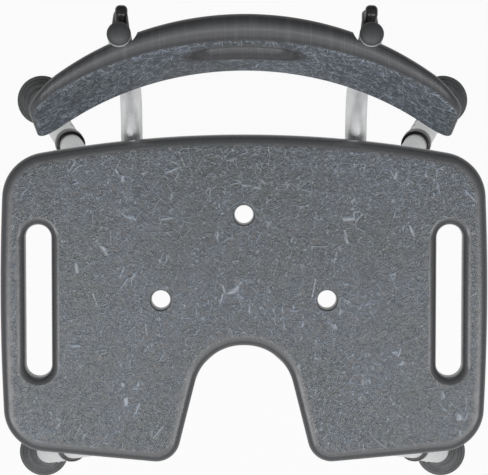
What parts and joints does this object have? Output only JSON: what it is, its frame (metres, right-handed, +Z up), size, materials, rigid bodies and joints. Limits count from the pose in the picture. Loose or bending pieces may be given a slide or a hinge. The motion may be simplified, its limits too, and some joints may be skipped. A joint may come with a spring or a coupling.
{
  "type": "shower chair",
  "caption": "shower chair with a moulded seat with front cut-out and hand slots, a curved back on bent tubes, and telescoping splayed legs with rubber feet",
  "frame": {"origin": "middle of the bounding box in plan, on the floor under the rubber feet", "axes": "+Z up, +Y towards the back, +X to the right of a viewer who faces the front of the chair"},
  "size_m": [0.5254, 0.5564, 0.7255],
  "materials": {
    "seat_plastic": "slate grey moulded plastic with a fine leather-like grain and smooth rims",
    "tube_aluminium": "satin anodised aluminium tube",
    "black_plastic": "black moulded plastic",
    "foot_rubber": "mid grey rubber with moulded rings",
    "steel": "plain zinc-plated steel",
    "brass": "turned brass"
  },
  "bodies": {
    "frame": {"seat_panel": "seat_plastic", "back_panel": "seat_plastic", "cross_tube_a": "tube_aluminium", "cross_tube_b": "tube_aluminium", "cross_bolt": "steel", "cross_nut": "steel", "leg_spring_front_left": "steel", "seat_bolt_front_left": "steel", "seat_insert_front_left": "brass", "leg_spring_front_right": "steel", "seat_bolt_front_right": "steel", "seat_insert_front_right": "brass", "leg_spring_rear_left": "steel", "seat_bolt_rear_left": "steel", "seat_insert_rear_left": "brass", "leg_spring_rear_right": "steel", "seat_bolt_rear_right": "steel", "seat_insert_rear_right": "brass", "back_tube_left": "tube_aluminium", "tube_cap_left": "black_plastic", "back_socket_left": "black_plastic", "back_spring_left": "steel", "panel_insert_left": "brass", "socket_screw_left_inner": "steel", "socket_screw_left_outer": "steel", "back_tube_right": "tube_aluminium", "tube_cap_right": "black_plastic", "back_socket_right": "black_plastic", "back_spring_right": "steel", "panel_insert_right": "brass", "socket_screw_right_inner": "steel", "socket_screw_right_outer": "steel"},
    "leg_front_left": {"leg_tube_front_left": "tube_aluminium", "leg_collar_front_left": "black_plastic", "foot_front_left": "foot_rubber"},
    "button_leg_front_left": {"leg_button_front_left": "steel"},
    "leg_front_right": {"leg_tube_front_right": "tube_aluminium", "leg_collar_front_right": "black_plastic", "foot_front_right": "foot_rubber"},
    "button_leg_front_right": {"leg_button_front_right": "steel"},
    "leg_rear_left": {"leg_tube_rear_left": "tube_aluminium", "leg_collar_rear_left": "black_plastic", "foot_rear_left": "foot_rubber"},
    "button_leg_rear_left": {"leg_button_rear_left": "steel"},
    "leg_rear_right": {"leg_tube_rear_right": "tube_aluminium", "leg_collar_rear_right": "black_plastic", "foot_rear_right": "foot_rubber"},
    "button_leg_rear_right": {"leg_button_rear_right": "steel"},
    "button_back_left": {"back_button_left": "steel"},
    "knob_left": {"knob_wing_left": "black_plastic", "knob_screw_left": "steel"},
    "button_back_right": {"back_button_right": "steel"},
    "knob_right": {"knob_wing_right": "black_plastic", "knob_screw_right": "steel"}
  },
  "joints": [
    {"name": "leg_slide_front_left", "type": "slide", "parent": "frame", "child": "leg_front_left", "axis": [-0.1976, -0.1748, -0.9646], "range_m": [0, 0.15]},
    {"name": "leg_slide_front_right", "type": "slide", "parent": "frame", "child": "leg_front_right", "axis": [0.1976, -0.1748, -0.9646], "range_m": [0, 0.15]},
    {"name": "leg_slide_rear_left", "type": "slide", "parent": "frame", "child": "leg_rear_left", "axis": [-0.1976, 0.1748, -0.9646], "range_m": [0, 0.15]},
    {"name": "leg_slide_rear_right", "type": "slide", "parent": "frame", "child": "leg_rear_right", "axis": [0.1976, 0.1748, -0.9646], "range_m": [0, 0.15]},
    {"name": "leg_button_press_front_left", "type": "slide", "parent": "frame", "child": "button_leg_front_left", "axis": [-0.6626, 0.749, 0], "range_m": [0, 0.0046], "stiffness_N_per_m": 600, "springref_m": -0.003, "deforming": ["leg_spring_front_left"]},
    {"name": "leg_button_press_front_right", "type": "slide", "parent": "frame", "child": "button_leg_front_right", "axis": [0.6626, 0.749, 0], "range_m": [0, 0.0046], "stiffness_N_per_m": 600, "springref_m": -0.003, "deforming": ["leg_spring_front_right"]},
    {"name": "leg_button_press_rear_left", "type": "slide", "parent": "frame", "child": "button_leg_rear_left", "axis": [-0.6626, -0.749, 0], "range_m": [0, 0.0046], "stiffness_N_per_m": 600, "springref_m": -0.003, "deforming": ["leg_spring_rear_left"]},
    {"name": "leg_button_press_rear_right", "type": "slide", "parent": "frame", "child": "button_leg_rear_right", "axis": [0.6626, -0.749, 0], "range_m": [0, 0.0046], "stiffness_N_per_m": 600, "springref_m": -0.003, "deforming": ["leg_spring_rear_right"]},
    {"name": "back_button_press_left", "type": "slide", "parent": "frame", "child": "button_back_left", "axis": [0, 0, 1], "range_m": [0, 0.0054], "stiffness_N_per_m": 600, "springref_m": -0.003, "deforming": ["back_spring_left"]},
    {"name": "back_button_press_right", "type": "slide", "parent": "frame", "child": "button_back_right", "axis": [0, 0, 1], "range_m": [0, 0.0054], "stiffness_N_per_m": 600, "springref_m": -0.003, "deforming": ["back_spring_right"]},
    {"name": "knob_turn_left", "type": "hinge", "parent": "frame", "child": "knob_left", "pos_m": [-0.116, 0.24337, 0.682], "axis": [0, 0.9785, -0.2062], "continuous": true},
    {"name": "knob_turn_right", "type": "hinge", "parent": "frame", "child": "knob_right", "pos_m": [0.116, 0.24337, 0.682], "axis": [0, 0.9785, -0.2062], "continuous": true}
  ]
}
